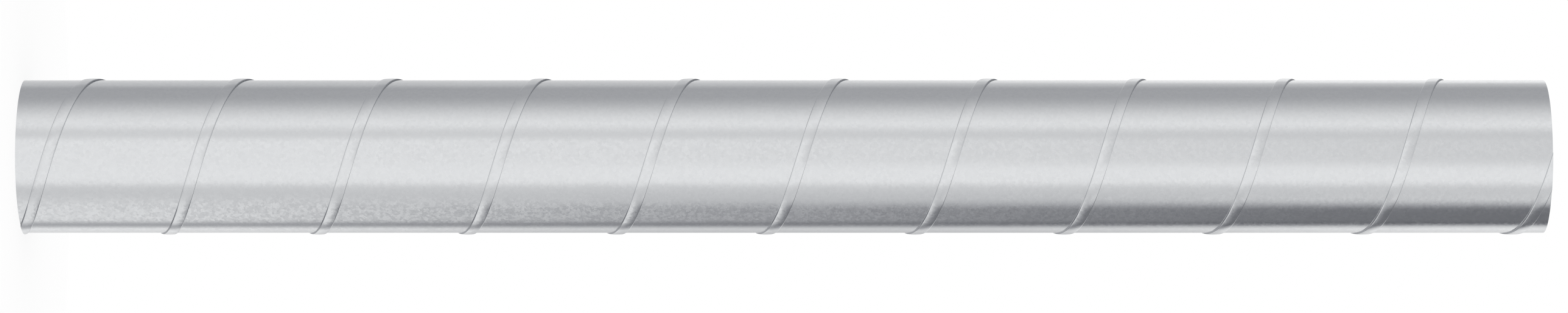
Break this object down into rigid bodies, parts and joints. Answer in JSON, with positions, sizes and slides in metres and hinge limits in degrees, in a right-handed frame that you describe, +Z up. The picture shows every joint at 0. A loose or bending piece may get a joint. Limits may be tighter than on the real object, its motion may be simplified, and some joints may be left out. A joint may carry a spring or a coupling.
{
  "type": "round spiral duct",
  "caption": "Straight round ventilation duct of zinc coated steel strip, wound in a helix with a standing lock seam, open at both ends and stood on one.",
  "frame": {"origin": "centre of the lower end's opening, on the duct's axis, where it stands on the floor", "axes": "+Z up the duct's axis from the lower end to the upper end, -Y towards the viewer"},
  "size_m": [0.1288, 0.1288, 1.25],
  "materials": {
    "galvanised_steel": "hot dip galvanised sheet, soft sheen with fine spangle"
  },
  "bodies": {
    "root": {"spiral_duct": "galvanised_steel"}
  },
  "joints": []
}
